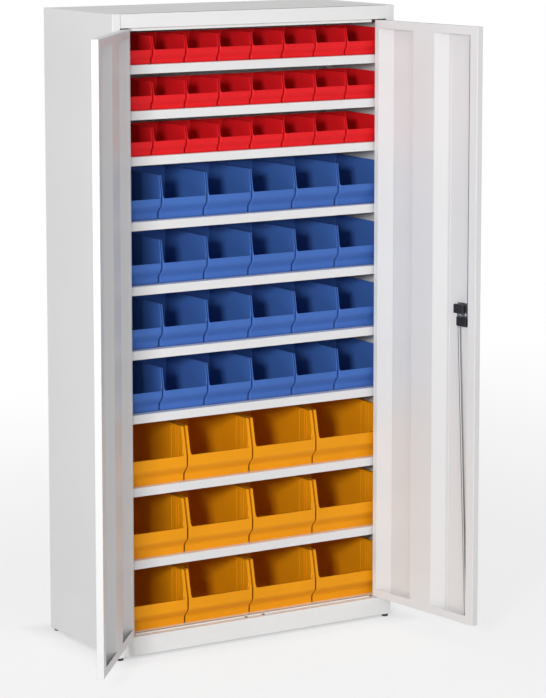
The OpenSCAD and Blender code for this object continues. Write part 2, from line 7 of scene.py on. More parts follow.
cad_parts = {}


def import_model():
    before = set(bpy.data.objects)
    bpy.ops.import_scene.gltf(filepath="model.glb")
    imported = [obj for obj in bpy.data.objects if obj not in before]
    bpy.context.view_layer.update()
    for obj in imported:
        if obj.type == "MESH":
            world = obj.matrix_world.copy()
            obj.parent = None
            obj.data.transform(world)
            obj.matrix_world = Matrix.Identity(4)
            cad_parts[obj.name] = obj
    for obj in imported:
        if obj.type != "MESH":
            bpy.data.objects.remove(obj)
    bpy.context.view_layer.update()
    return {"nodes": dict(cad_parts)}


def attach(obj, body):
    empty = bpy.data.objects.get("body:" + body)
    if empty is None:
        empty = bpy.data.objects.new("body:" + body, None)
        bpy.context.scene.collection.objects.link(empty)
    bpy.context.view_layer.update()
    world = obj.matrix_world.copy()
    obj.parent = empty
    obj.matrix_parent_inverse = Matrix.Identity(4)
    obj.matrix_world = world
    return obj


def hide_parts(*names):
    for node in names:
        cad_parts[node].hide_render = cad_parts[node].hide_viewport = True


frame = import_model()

# ---------------------------------------------------------------- sizes, in millimetres

MM = 0.001
SHEET = 1.0                     # every folded sheet's thickness
FOLD = 1.6                      # how far a fold's rounding reaches from its corner

# Carcass: x across from the middle, y from the front (negative) to the back, z up from the floor.
HALF_W, HALF_D, TOP_Z = 460.0, 200.0, 1800.0
STILE_X = 435.0                 # inner edge of the side panels' front stiles
STILE_GAP = 0.4                 # between a stile and the band or plinth
LEDGE_Y = -178.0                # back edge of the ledges that the doors close against
BACK_FLANGE, BOTTOM_FLANGE = 20.0, 35.0
FOOT_Z, PLINTH_Z, FLOOR_Z, BAND_Z = 8.0, 62.0, 65.0, 1761.0
NOTCH_X = 398.0                 # the stop lip and the riser end here, clear of the hinges
STOP_LIP = 9.5
REAR_DROP, REAR_RISE = 30.0, 34.0
PANEL_GAP = 1.5                 # between the floor or top sheet and the side panels
FOOT_X, FOOT_Y = 446.0, (-190.0, 183.0)
BUFFER_X, BUFFER_Y = 29.0, -182.55

# Doors, in their own axes: s from the hinge to the free edge, then outside to inside, then up.
HINGE_X, HINGE_Y = 421.0, -194.5
LEFT_ANGLE, RIGHT_ANGLE = 130.0, 97.0
DOOR_S0, DOOR_S1 = -12.0, 419.5
DOOR_OUT, DOOR_IN = -5.5, 14.5
DOOR_Z0, DOOR_Z1 = 64.0, 1758.0
HINGE_RETURN, FREE_RETURN, END_RETURN = 17.0, 30.0, 24.0
RIB_END = 3.0                   # the web and the stiffener stop this far inside the door's ends
WEB_RUN, WEB_LIP, WEB_GAP = 45.0, 3.0, 0.05
HAT_LOW, HAT_HIGH, HAT_LIP = (142.0, 284.0), (150.0, 240.0), 10.0
SPACER_X, SPACER_FRONT, SPACER_BACK, SPACER_GAP = 10.0, 5.5, 9.5, 0.2

SHELF_LEVELS = [1658.0, 1532.0, 1406.0, 1226.0, 1046.0, 866.0, 686.0, 479.0, 272.0]
SHELF_X, SHELF_FRONT, SHELF_BACK = 445.0, -174.0, 194.0
STRIP_H, SKIRT_H, HEM = 25.0, 15.0, 12.0

# Lock: its axis, the cam's pins, the rods beside them and the rods' slots in the sheets.
LOCK_S, LOCK_Z = 361.0, 947.0
CAM_R = 20.0
ROD_S, ROD_OFF, ROD_R = LOCK_S + CAM_R, 4.2, 4.0
SLOT_PLAY, KEEPER_GAP, SLOT_GAP = 5.0, 2.0, 0.2
COVER_IN, COVER_OUT = 7.0, 16.5
COVERS = (                      # low and high corner, then the post, all from the lock's axis
    dict(low=(-30.0, 5.0), high=(9.0, 31.0), post=(-26.0, 27.0)),
    dict(low=(-18.0, -30.0), high=(21.5, -4.0), post=(18.0, -26.0)),
)
LEVER_OUT, LEVER_IN = -29.7, -20.7

# Bins. lip: height of the front; band: its upright part; slant: the S below it, set back by
# setback; brow: how far back the side's edge reaches full height; over: what the side rims
# stand out by; roll: depth of those rims; ribs: where they stand inside each side.
BIN_FRONT, GLIDE = -172.0, 0.05
BINS = {
    "red": dict(width=103, pitch=106, depth=163, height=77, lip=40, band=15, slant=12,
                setback=10, brow=10, wall=1.8, over=0.8, corner=4, roll=3, columns=8, ribs=()),
    "blue": dict(width=144, pitch=146, depth=236, height=123.5, lip=60, band=19, slant=21,
                 setback=20, brow=12, wall=2.2, over=1, corner=5, roll=4, columns=6, ribs=()),
    "yellow": dict(width=210, pitch=215, depth=346, height=157, lip=75, band=33, slant=21,
                   setback=20, brow=18, wall=2.6, over=6, corner=8, roll=8, columns=4,
                   ribs=(32, 45, 71)),
}
EASE = 5.0                      # how far the S runs into the straight parts
RIB, RIB_PROUD, RIB_SHORT = 2.4, 1.0, 6.0
ROWS = {"red": SHELF_LEVELS[0:3], "blue": SHELF_LEVELS[3:7], "yellow": SHELF_LEVELS[7:9] + [FLOOR_Z]}
LONE_COLUMN = {"red": 3, "blue": 2}


# ---------------------------------------------------------------- shader maths

class Wire:
    """A socket that turns arithmetic into Math nodes."""

    def __init__(self, shading, socket):
        self.shading, self.socket = shading, socket

    def _maths(self, operation, other=None, swapped=False, clamp=False):
        values = [self] if other is None else [other, self] if swapped else [self, other]
        return self.shading.node("ShaderNodeMath", dict(operation=operation, use_clamp=clamp),
                                 dict(enumerate(values)))

    def __add__(self, other):
        return self._maths("ADD", other)

    __radd__ = __add__

    def __mul__(self, other):
        return self._maths("MULTIPLY", other)

    __rmul__ = __mul__

    def __sub__(self, other):
        return self._maths("SUBTRACT", other)

    def __rsub__(self, other):
        return self._maths("SUBTRACT", other, swapped=True)

    def clamped(self):
        return self._maths("ADD", 0.0, clamp=True)

    def larger(self, other):
        return self._maths("MAXIMUM", other)

    def size(self):
        return self._maths("ABSOLUTE")


class Shading:
    """The node tree of a material or the world."""

    def __init__(self, owner):
        owner.use_nodes = True
        self.tree = owner.node_tree
        self.tree.nodes.clear()

    def node(self, kind, settings=None, inputs=None, output=0):
        made = self.tree.nodes.new(kind)
        for key, value in (settings or {}).items():
            setattr(made, key, value)
        for key, value in (inputs or {}).items():
            if isinstance(value, Wire):
                self.tree.links.new(value.socket, made.inputs[key])
            else:
                made.inputs[key].default_value = value
        return Wire(self, made.outputs[output]) if made.outputs else None

    def shown_white(self):
        """One for the rays that see the background: straight, mirrored or through glass."""
        straight, glossy, through = (self.node("ShaderNodeLightPath", output=kind) for kind in
                                     ("Is Camera Ray", "Is Glossy Ray", "Is Transmission Ray"))
        return straight.larger(glossy).larger(through)


class Finish(Shading):
    """A material under construction, with its coordinates and the patterns it uses."""

    def __init__(self, name):
        self.material = bpy.data.materials.new(name)
        super().__init__(self.material)
        self.place = self.node("ShaderNodeTexCoord", output="Object")

    def noise(self, scale, detail=2.0, roughness=0.5, place=None):
        return self.node("ShaderNodeTexNoise", dict(noise_dimensions="3D"),
                         {"Vector": place or self.place, "Scale": scale, "Detail": detail,
                          "Roughness": roughness})

    def stretched(self, scale, turn=(0.0, 0.0, 0.0)):
        return self.node("ShaderNodeMapping", None,
                         {"Vector": self.place, "Rotation": turn, "Scale": scale})

    def spread(self, wire, low, high, to_low=0.0, to_high=1.0):
        return self.node("ShaderNodeMapRange", dict(clamp=True, interpolation_type="SMOOTHSTEP"),
                         {0: wire, 1: low, 2: high, 3: to_low, 4: to_high})

    def blend(self, factor, first, second):
        return self.node("ShaderNodeMix", dict(data_type="RGBA"), {0: factor, 6: first, 7: second}, 2)

    def axis(self, letter):
        return self.node("ShaderNodeSeparateXYZ", None, {0: self.place}, letter)

    def bump(self, height, strength, distance, **under):
        return self.node("ShaderNodeBump", None,
                         {"Height": height, "Strength": strength, "Distance": distance, **under})

    def close(self, **sockets):
        names = dict(colour="Base Color", roughness="Roughness", metallic="Metallic",
                     normal="Normal", ior="IOR", specular="Specular IOR Level")
        return self.ended(self.node("ShaderNodeBsdfPrincipled", None,
                                    {names[key]: value for key, value in sockets.items()}))

    def ended(self, shader):
        self.node("ShaderNodeOutputMaterial", None, {"Surface": shader})
        return self.material


def shade(colour, by):
    """The colour made darker or lighter by a share."""
    return tuple(min(1.0, max(0.0, c * by)) for c in colour[:3]) + (1.0,)


# ---------------------------------------------------------------- finishes

def powder_coat(name, colour, cloud=0.02, darkening_top=0.30):
    """White powder coat: a fine orange peel, a faint cloudiness and colour darkened in streaks towards the
    floor.
    """
    f = Finish(name)
    broad = f.noise(2.3, 3.0)
    mottle = f.noise(38.0, 3.0)
    peel = f.noise(620.0, 1.0)
    pores = f.noise(1500.0, 1.0)
    tone = f.spread(broad, 0.3, 0.7, 1.0 - cloud, 1.0 + cloud) + (mottle - 0.5) * cloud
    base = f.blend(((tone - 1.0) * 12.0 + 0.5).clamped(), shade(colour, 0.97), shade(colour, 1.03))
    # colour darkened in streaks towards the floor, below the given top height, and made a little rougher
    # there
    low = 1.0 - f.spread(f.axis("Z"), 0.02, darkening_top)
    streaks = f.noise(5.0, 4.0, 0.6, f.stretched((1.0, 1.0, 9.0)))
    low_streaks = f.spread(streaks, 0.52, 0.78) * low
    base = f.blend(low_streaks * 0.3, base, shade(colour, 0.86))
    bump = f.bump(peel + pores * 0.3, 0.10, 0.00025)
    return f.close(colour=base, roughness=(mottle - 0.5) * 0.12 + low_streaks * 0.12 + 0.42,
                   normal=bump, ior=1.5)


def moulded(name, colour):
    """Moulded plastic: a fine spark-eroded grain, flow marks and dry rubbing in scattered pale patches."""
    f = Finish(name)
    flow = f.noise(6.0, 2.0, 0.5, f.stretched((1.0, 0.35, 1.0)))
    grain = f.noise(1100.0, 2.0)
    cloud = f.noise(24.0, 3.0)
    tone = f.spread(flow, 0.25, 0.75) * 0.6 + cloud * 0.4
    base = f.blend(tone, shade(colour, 0.93), shade(colour, 1.06))
    rub = f.noise(90.0, 4.0, 0.62, f.stretched((0.3, 1.0, 2.2), (0.2, 0.0, 0.5)))
    rubbed = f.spread(rub, 0.66, 0.82)
    pale = tuple(c * 0.85 + 0.12 for c in colour[:3]) + (1.0,)
    base = f.blend(rubbed * 0.18, base, pale)
    bump = f.bump(grain, 0.09, 0.00018, Normal=f.bump(flow, 0.05, 0.001))
    return f.close(colour=base, roughness=(cloud - 0.5) * 0.14 + rubbed * 0.1 + 0.46,
                   normal=bump, ior=1.49, specular=0.2)


def drawn_steel(name, colour, length, roughness):
    """Zinc-plated steel: lines drawn out upwards under a cloudy plating."""
    f = Finish(name)
    lines = f.noise(130.0, 3.0, 0.6, f.stretched((1.0, 1.0, 1.0 / length)))
    cloud = f.noise(45.0, 3.0)
    base = f.blend(cloud, shade(colour, 0.88), shade(colour, 1.08))
    bump = f.bump(lines, 0.12, 0.0002)
    return f.close(colour=base, roughness=(lines - 0.5) * 0.2 + cloud * 0.08 + roughness,
                   metallic=1.0, normal=bump)


def dark_moulded(name, colour, roughness, grain_scale):
    """Black plastic or rubber: grained, with dust caught in the grain."""
    f = Finish(name)
    grain = f.noise(grain_scale, 3.0)
    settled = f.spread(f.noise(30.0, 4.0, 0.6), 0.52, 0.85) * 0.25
    base = f.blend(settled, colour, (0.10, 0.10, 0.10, 1.0))
    bump = f.bump(grain, 0.2, 0.0002)
    return f.close(colour=base, roughness=(grain - 0.5) * 0.15 + settled * 0.4 + roughness,
                   normal=bump, ior=1.5)


body_paint = powder_coat("body_powder_coat", (0.82, 0.825, 0.82, 1.0))
shelf_paint = powder_coat("shelf_powder_coat", (0.78, 0.78, 0.785, 1.0), cloud=0.03, darkening_top=0.05)
door_paint = powder_coat("door_powder_coat", (0.79, 0.79, 0.795, 1.0))
zinc_steel = drawn_steel("zinc_plated_steel", (0.60, 0.61, 0.62, 1.0), 40.0, 0.36)
rod_steel = drawn_steel("drawn_rod_steel", (0.44, 0.45, 0.46, 1.0), 90.0, 0.45)
lock_black = dark_moulded("lock_black_plastic", (0.018, 0.018, 0.020, 1.0), 0.42, 900.0)
foot_black = dark_moulded("foot_black_plastic", (0.020, 0.020, 0.021, 1.0), 0.55, 700.0)
buffer_rubber = dark_moulded("buffer_rubber", (0.014, 0.014, 0.014, 1.0), 0.75, 500.0)
PLASTICS = {
    "red": moulded("red_plastic", (0.78, 0.012, 0.017, 1.0)),
    "blue": moulded("blue_plastic", (0.058, 0.155, 0.490, 1.0)),
    "yellow": moulded("yellow_plastic", (0.870, 0.335, 0.004, 1.0)),
}


# ---------------------------------------------------------------- mesh tools, in millimetres

PLANES = {
    "plan": lambda u, v, w: (u, v, w),
    "side": lambda u, v, w: (w, u, v),
    "front": lambda u, v, w: (u, w, v),
}
MERGE = 0.001                   # points closer than this are one
LEVEL_REACH = 1.5               # how far a sheet's two faces may lie from its stated level
SHARP = math.radians(28.0)      # edges that turn further than this are shaded as edges


def take_in(bm, other):
    """Adds the other mesh to this one and frees it."""
    carrier = bpy.data.meshes.new("carrier")
    other.to_mesh(carrier)
    other.free()
    bm.from_mesh(carrier)
    bpy.data.meshes.remove(carrier)


def tidy(part):
    bmesh.ops.remove_doubles(part, verts=part.verts, dist=MERGE)
    bmesh.ops.recalc_face_normals(part, faces=part.faces)


def cube(low, high):
    """A plain box between two corners."""
    part = bmesh.new()
    bmesh.ops.create_cube(part, size=1.0)
    bmesh.ops.scale(part, vec=[h - l for l, h in zip(low, high)], verts=part.verts)
    bmesh.ops.translate(part, vec=[(l + h) / 2 for l, h in zip(low, high)], verts=part.verts)
    return part


def block(bm, low, high, edge, segments=3):
    """A box between two corners with its edges rounded."""
    part = cube(low, high)
    bmesh.ops.bevel(part, geom=part.edges[:], offset=edge, segments=segments, profile=0.5,
                    affect="EDGES", clamp_overlap=True, material=-1)
    tidy(part)
    take_in(bm, part)


def pushed(part, put, start, end, grown):
    """Moves what was just extruded from the start to the end of its way across the plane."""
    step = Vector(put(0.0, 0.0, end)) - Vector(put(0.0, 0.0, start))
    bmesh.ops.translate(part, vec=step, verts=[g for g in grown if isinstance(g, bmesh.types.BMVert)])


def left_of(chain):
    """The direction to the left of the chain's first stretch."""
    (u0, v0), (u1, v1) = chain[:2]
    length = math.hypot(u1 - u0, v1 - v0)
    return (-(v1 - v0) / length, (u1 - u0) / length)


def ribbon(bm, chain, plane, start, end, thickness, bend=FOLD, segments=4):
    """Sheet metal folded along a chain of points, drawn out across its plane, thick to the left."""
    part = bmesh.new()
    put = PLANES[plane]
    verts = [part.verts.new(put(u, v, start)) for u, v in chain]
    for first, second in zip(verts, verts[1:]):
        part.edges.new((first, second))
    if bend:
        bmesh.ops.bevel(part, geom=verts[1:-1], offset=bend, segments=segments, profile=0.5,
                        affect="VERTICES", material=-1)
    pushed(part, put, start, end, bmesh.ops.extrude_edge_only(part, edges=part.edges[:])["geom"])
    bmesh.ops.recalc_face_normals(part, faces=part.faces)
    opening = Vector(put(*chain[0], start))
    first_face = min(part.faces, key=lambda f: min((v.co - opening).length for v in f.verts))
    if first_face.normal.dot(Vector(put(*left_of(chain), 0.0))) > 0:
        bmesh.ops.reverse_faces(part, faces=part.faces)
    bmesh.ops.solidify(part, geom=part.faces[:], thickness=thickness)
    tidy(part)
    take_in(bm, part)


def drawn_out(bm, outline, plane, start, end, edge):
    """A flat outline drawn out across its plane, closed at both ends, with its edges rounded."""
    part = bmesh.new()
    put = PLANES[plane]
    face = part.faces.new([part.verts.new(put(u, v, start)) for u, v in outline])
    pushed(part, put, start, end, bmesh.ops.extrude_face_region(part, geom=[face])["geom"])
    bmesh.ops.bevel(part, geom=part.edges[:], offset=edge, segments=2, profile=0.5,
                    affect="EDGES", clamp_overlap=True, material=-1)
    tidy(part)
    take_in(bm, part)


def turned(bm, profile, centre, axis=(0, 0, 1), steps=40):
    """A profile of (radius, height) points spun round an axis through the centre."""
    part = bmesh.new()
    verts = [part.verts.new((r, 0.0, h)) for r, h in profile]
    edges = [part.edges.new(pair) for pair in zip(verts, verts[1:])]
    bmesh.ops.spin(part, geom=verts + edges, cent=(0, 0, 0), axis=(0, 0, 1), angle=math.tau,
                   steps=steps, use_merge=True)
    tidy(part)
    turn = Vector((0, 0, 1)).rotation_difference(Vector(axis)).to_matrix().to_4x4()
    part.transform(Matrix.Translation(centre) @ turn)
    take_in(bm, part)


def long_slot(x, y, radius, steps=6):
    """The outline of a rod's slot with round ends, lying along the first axis."""
    points = []
    for shift, start in ((SLOT_PLAY, -90.0), (-SLOT_PLAY, 90.0)):
        for step in range(steps + 1):
            turn = math.radians(start + 180.0 * step / steps)
            points.append((x + shift + radius * math.cos(turn), y + radius * math.sin(turn)))
    return points


def level_round(face, point, level):
    """Whether a face lies level at the height and has the point inside it."""
    if abs(face.normal.z) < 0.9 or abs(face.calc_center_median().z - level) > LEVEL_REACH:
        return False
    corners = [v.co for v in face.verts]
    turns = [(b.x - a.x) * (point[1] - a.y) - (b.y - a.y) * (point[0] - a.x)
             for a, b in zip(corners, corners[1:] + corners[:1])]
    return min(turns) > -1e-4 or max(turns) < 1e-4


def punch(bm, outline, level):
    """Cuts an outline through the level sheet at a height and closes the cut's wall."""
    bm.normal_update()
    middle = [sum(axis) / len(outline) for axis in zip(*outline)]
    for (x0, y0), (x1, y1) in zip(outline, outline[1:] + outline[:1]):
        for face in [f for f in bm.faces if level_round(f, middle, level)]:
            geom = [face] + list(face.edges) + list(face.verts)
            bmesh.ops.bisect_plane(bm, geom=geom, plane_co=(x0, y0, 0), plane_no=(y1 - y0, x0 - x1, 0))
    waste = sorted((f for f in bm.faces if level_round(f, middle, level)),
                   key=lambda f: f.calc_center_median().z)
    under, over = (list(face.verts) for face in waste)
    bmesh.ops.delete(bm, geom=waste, context="FACES_ONLY")
    for first, second in zip(over, over[1:] + over[:1]):
        below = [min(under, key=lambda v: (v.co.xy - corner.co.xy).length) for corner in (second, first)]
        bm.faces.new((first, second, *below))
    bmesh.ops.recalc_face_normals(bm, faces=bm.faces)


def flipped(bm):
    """Turns a mesh into its mirror image on the other side of the cabinet."""
    bm.transform(Matrix.Scale(-1.0, 4, (1, 0, 0)))
    bmesh.ops.reverse_faces(bm, faces=bm.faces)


def mirrored(bm):
    """Adds the same thing on the other side of the cabinet."""
    copy = bm.copy()
    flipped(copy)
    take_in(bm, copy)


def on_door(bm, side):
    """Moves a mesh from a door's own axes to where that door stands."""
    angle = math.radians(LEFT_ANGLE if side < 0 else RIGHT_ANGLE)
    place = (Matrix.Translation((side * HINGE_X, HINGE_Y, 0))
             @ Matrix.Rotation(side * angle, 4, "Z") @ Matrix.Diagonal((-side, 1, 1, 1)))
    bm.transform(place)
    if side > 0:
        bmesh.ops.reverse_faces(bm, faces=bm.faces)


def piece(name, bm, finish, body, nodes):
    """A finished piece in metres, riding on its body."""
    bmesh.ops.scale(bm, vec=(MM, MM, MM), verts=bm.verts)
    mesh = bpy.data.meshes.new(name)
    bm.to_mesh(mesh)
    bm.free()
    mesh.materials.append(finish)
    for polygon in mesh.polygons:
        polygon.use_smooth = True
    mesh.set_sharp_from_angle(angle=SHARP)
    made = bpy.data.objects.new(name, mesh)
    bpy.context.scene.collection.objects.link(made)
    made.modifiers.new("even_shading", "WEIGHTED_NORMAL").keep_sharp = True
    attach(made, body)
    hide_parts(*nodes)


# ---------------------------------------------------------------- carcass

def side_panels():
    for name, side in (("left_side_panel", -1), ("right_side_panel", 1)):
        bm = bmesh.new()
        plan = [(STILE_X, LEDGE_Y), (STILE_X, -HALF_D), (HALF_W, -HALF_D), (HALF_W, HALF_D),
                (HALF_W - BACK_FLANGE, HALF_D)]
        ribbon(bm, plan, "plan", FOOT_Z, TOP_Z, SHEET)
        block(bm, (HALF_W - BOTTOM_FLANGE, SHEET - HALF_D, FOOT_Z),
              (HALF_W - SHEET, HALF_D - SHEET, FOOT_Z + SHEET), 0.0)
        if side < 0:
            flipped(bm)
        piece(name + "_folded", bm, body_paint, "carcass", [name])


def top_and_base():
    front_x = STILE_X - STILE_GAP
    keeper = long_slot(HINGE_X - ROD_S, HINGE_Y + ROD_OFF, ROD_R + KEEPER_GAP)
    bm = bmesh.new()
    band = [(LEDGE_Y + SHEET, BAND_Z), (-HALF_D, BAND_Z), (-HALF_D, TOP_Z), (-HALF_D + 12, TOP_Z)]
    ribbon(bm, band[::-1], "side", -front_x, front_x, SHEET)
    punch(bm, keeper, BAND_Z)
    block(bm, (-NOTCH_X, LEDGE_Y, BAND_Z - STOP_LIP), (NOTCH_X, LEDGE_Y + SHEET, BAND_Z + 0.4), 0.3, 1)
    block(bm, (-HALF_W + FOLD, -HALF_D + FOLD, TOP_Z - SHEET),
          (HALF_W - FOLD, HALF_D - SHEET, TOP_Z), 0.3, 1)
    rear_x = HALF_W - BACK_FLANGE - 0.5
    block(bm, (-rear_x, HALF_D - SHEET, TOP_Z - REAR_DROP), (rear_x, HALF_D, TOP_Z), 0.3, 1)
    piece("top_folded", bm, body_paint, "carcass", ["top_panel"])

    bm = bmesh.new()
    plinth = [(-HALF_D + 10, FOOT_Z), (-HALF_D, FOOT_Z), (-HALF_D, PLINTH_Z), (LEDGE_Y + SHEET, PLINTH_Z)]
    ribbon(bm, plinth[::-1], "side", -front_x, front_x, SHEET)
    punch(bm, keeper, PLINTH_Z)
    riser = [(LEDGE_Y, PLINTH_Z - 0.5), (LEDGE_Y, FLOOR_Z), (LEDGE_Y + 8, FLOOR_Z)]
    ribbon(bm, riser[::-1], "side", -NOTCH_X, NOTCH_X, SHEET, bend=1.2)
    floor_x, rear = HALF_W - PANEL_GAP, HALF_D - 2
    block(bm, (-floor_x, LEDGE_Y + 4, FLOOR_Z - SHEET), (floor_x, rear, FLOOR_Z), 0.2, 1)
    block(bm, (-floor_x, rear - SHEET, FOOT_Z + REAR_RISE), (floor_x, rear, FLOOR_Z), 0.2, 1)
    piece("base_folded", bm, body_paint, "carcass", ["base_panel"])


def shelves():
    for index, level in enumerate(SHELF_LEVELS, 1):
        bm = bmesh.new()
        tray = [(SHELF_FRONT + HEM, level - STRIP_H), (SHELF_FRONT, level - STRIP_H),
                (SHELF_FRONT, level), (SHELF_BACK, level), (SHELF_BACK, level - STRIP_H)]
        ribbon(bm, tray[::-1], "side", -SHELF_X, SHELF_X, SHEET, bend=1.8)
        for outer in (-SHELF_X, SHELF_X):
            near, far = sorted((outer, outer - math.copysign(SHEET, outer)))
            block(bm, (near, SHELF_FRONT + 1.5, level - SKIRT_H), (far, SHELF_BACK - 1.5, level - 0.5),
                  0.2, 1)
        piece(f"shelf_{index}_folded", bm, shelf_paint, "carcass", [f"shelf_{index}"])


def feet():
    bm = bmesh.new()
    pad = [(0, 0), (8.2, 0), (9.3, 1.1), (9.7, 4), (10, FOOT_Z), (0, FOOT_Z)]
    stud = [(0, 7.5), (3, 7.5), (3, 23), (2.2, 24), (0, 24)]
    for y in FOOT_Y:
        turned(bm, pad, (FOOT_X, y, 0.0))
        turned(bm, stud, (FOOT_X, y, 0.0), steps=20)
    mirrored(bm)
    piece("feet_moulded", bm, foot_black, "carcass", ["feet"])


def stops_and_spacers():
    bm = bmesh.new()
    pad = [(0, 1.7), (2.8, 1.7), (3.8, 1.3), (4.25, 0.5), (4.25, 0), (2, 0), (2, -4), (0, -4)]
    turned(bm, pad, (BUFFER_X, BUFFER_Y, PLINTH_Z), steps=32)
    mirrored(bm)
    piece("buffers_moulded", bm, buffer_rubber, "carcass", ["door_buffers"])

    bm = bmesh.new()
    for z0, z1 in ((PLINTH_Z, DOOR_Z0 - SPACER_GAP), (DOOR_Z1 + SPACER_GAP, BAND_Z)):
        block(bm, (HINGE_X - SPACER_X, HINGE_Y - SPACER_FRONT, z0),
              (HINGE_X + SPACER_X, HINGE_Y + SPACER_BACK, z1), 0.5, 2)
    mirrored(bm)
    piece("spacers_moulded", bm, lock_black, "carcass", ["hinge_spacers"])


# ---------------------------------------------------------------- doors

def inner_faces(bm):
    return [f for f in bm.faces if f.calc_center_median().y > DOOR_IN - 0.1]


def door_tray(side):
    """The folded door: a closed box whose inner face is cut open between its returns."""
    bm = cube((DOOR_S0, DOOR_OUT, DOOR_Z0), (DOOR_S1, DOOR_IN, DOOR_Z1))
    bmesh.ops.bevel(bm, geom=bm.edges[:], offset=FOLD, segments=4, profile=0.5, affect="EDGES",
                    material=-1)
    web, free = DOOR_S0 + HINGE_RETURN, DOOR_S1 - FREE_RETURN
    low, high = DOOR_Z0 + END_RETURN, DOOR_Z1 - END_RETURN
    for point, normal in (((web, 0, 0), (1, 0, 0)), ((free, 0, 0), (1, 0, 0)),
                          ((0, 0, low), (0, 0, 1)), ((0, 0, high), (0, 0, 1))):
        inner = inner_faces(bm)
        geom = inner + list({e for f in inner for e in f.edges}) + list({v for f in inner for v in f.verts})
        bmesh.ops.bisect_plane(bm, geom=geom, plane_co=point, plane_no=normal)
    window = [f for f in inner_faces(bm)
              if web < f.calc_center_median().x < free and low < f.calc_center_median().z < high]
    bmesh.ops.delete(bm, geom=window, context="FACES")
    bmesh.ops.recalc_face_normals(bm, faces=bm.faces)
    if bm.calc_volume(signed=True) < 0:
        bmesh.ops.reverse_faces(bm, faces=bm.faces)
    bmesh.ops.solidify(bm, geom=bm.faces[:], thickness=SHEET)
    tidy(bm)
    if side > 0:
        for end in (DOOR_Z0, DOOR_Z1):
            punch(bm, long_slot(ROD_S, ROD_OFF, ROD_R + SLOT_GAP), end)
    under, face = DOOR_IN - SHEET - WEB_GAP, DOOR_OUT + SHEET
    ribbon(bm, [(web - WEB_LIP, under), (web, under), (web + WEB_RUN, face),
                (web + WEB_RUN + WEB_LIP, face)],
           "plan", DOOR_Z0 + RIB_END, DOOR_Z1 - RIB_END, -SHEET, bend=1.4)
    on_door(bm, side)
    label = "left" if side < 0 else "right"
    piece(f"{label}_door_folded", bm, door_paint, f"{label}_door", [f"{label}_door_panel"])


def door_hat(side):
    """The hat-shaped stiffener on a door's inside."""
    bm = bmesh.new()
    foot, crown = DOOR_OUT + 2 * SHEET, DOOR_IN - SHEET
    chain = [(HAT_LOW[0] - HAT_LIP, foot), (HAT_LOW[0], foot), (HAT_HIGH[0], crown),
             (HAT_HIGH[1], crown), (HAT_LOW[1], foot), (HAT_LOW[1] + HAT_LIP, foot)]
    ribbon(bm, chain[::-1], "plan", DOOR_Z0 + RIB_END, DOOR_Z1 - RIB_END, SHEET, bend=1.8)
    on_door(bm, side)
    label = "left" if side < 0 else "right"
    piece(f"{label}_stiffener_folded", bm, door_paint, f"{label}_door",
          [f"{label}_door_stiffener"])


# ---------------------------------------------------------------- lock

def through_door(bm, profile, s=LOCK_S, z=LOCK_Z, steps=56):
    """A turned form whose axis runs through the door, from the outside in."""
    turned(bm, profile, (s, 0.0, z), (0, 1, 0), steps)


def lock_pieces():
    bm = bmesh.new()
    for cover in COVERS:
        (s0, z0), (s1, z1), (post_s, post_z) = cover["low"], cover["high"], cover["post"]
        block(bm, (LOCK_S + s0, COVER_IN, LOCK_Z + z0), (LOCK_S + s1, COVER_OUT, LOCK_Z + z1), 1.6)
        through_door(bm, [(0, -2.5), (3, -2.5), (3, 8), (0, 8)], LOCK_S + post_s, LOCK_Z + post_z, 20)
    on_door(bm, 1)
    piece("lock_covers_moulded", bm, lock_black, "right_door", ["lock_covers"])

    bm = bmesh.new()
    through_door(bm, [(5.05, -5.5), (20.2, -5.5), (21, -6.0), (20.4, -7.6), (18.5, -8.5),
                      (5.05, -8.5), (5.05, -5.5)])
    on_door(bm, 1)
    piece("rose_moulded", bm, lock_black, "right_door", ["handle_rose"])

    bm = bmesh.new()
    through_door(bm, [(5, -8.7), (14.5, -8.7), (16, -10.2), (16, -31.5), (14, -34), (8.05, -34),
                      (8.05, -20), (5, -20), (5, -8.7)])
    half = [(-10, 10), (-96, 8), (-110, 5.5)]
    lever = [(-10, -10)] + half + [(-112, 0)] + [(s, -z) for s, z in half[:0:-1]]
    drawn_out(bm, [(LOCK_S + s, LOCK_Z + z) for s, z in lever], "front", LEVER_OUT, LEVER_IN, 2.4)
    on_door(bm, 1)
    piece("lever_moulded", bm, lock_black, "handle", ["handle_lever"])


# ---------------------------------------------------------------- bins

def front_curve(b, steps=12):
    """The front of a bin from its foot up to the lip: a smooth S set back at the bottom."""
    throat = b["lip"] - b["band"]
    low, high = throat - b["slant"] - EASE, throat + EASE
    points = [(b["setback"], 0.0)]
    for step in range(steps + 1):
        share = step / steps
        eased = share * share * (3 - 2 * share)
        points.append((b["setback"] * (1 - eased), low + (high - low) * share))
    return points + [(0.0, b["lip"])]


def bin_shell(b, body):
    """The walls and floor of a bin, open at the top and over the lip, with rounded corners."""
    shell = bmesh.new()
    inset = b["wall"] / 2 if b["ribs"] else 0.0
    outline = [(y + inset, z) for y, z in front_curve(b)]
    outline += [(b["brow"] + inset, b["height"]), (b["depth"], b["height"]), (b["depth"], 0)]
    face = shell.faces.new([shell.verts.new((-body, y, z)) for y, z in outline])
    pushed(shell, PLANES["side"], -body, body, bmesh.ops.extrude_face_region(shell, geom=[face])["geom"])
    bmesh.ops.recalc_face_normals(shell, faces=shell.faces)
    above = [f for f in shell.faces if abs(f.normal.x) < 0.5 and f.normal.z > 0.05]
    bmesh.ops.delete(shell, geom=above, context="FACES")
    corners = [e for e in shell.edges if len(e.link_faces) == 2 and e.calc_face_angle() > 0.6]
    bmesh.ops.bevel(shell, geom=corners, offset=b["corner"], segments=4, profile=0.5,
                    affect="EDGES", material=-1)
    bmesh.ops.solidify(shell, geom=shell.faces[:], thickness=b["wall"])
    tidy(shell)
    return shell


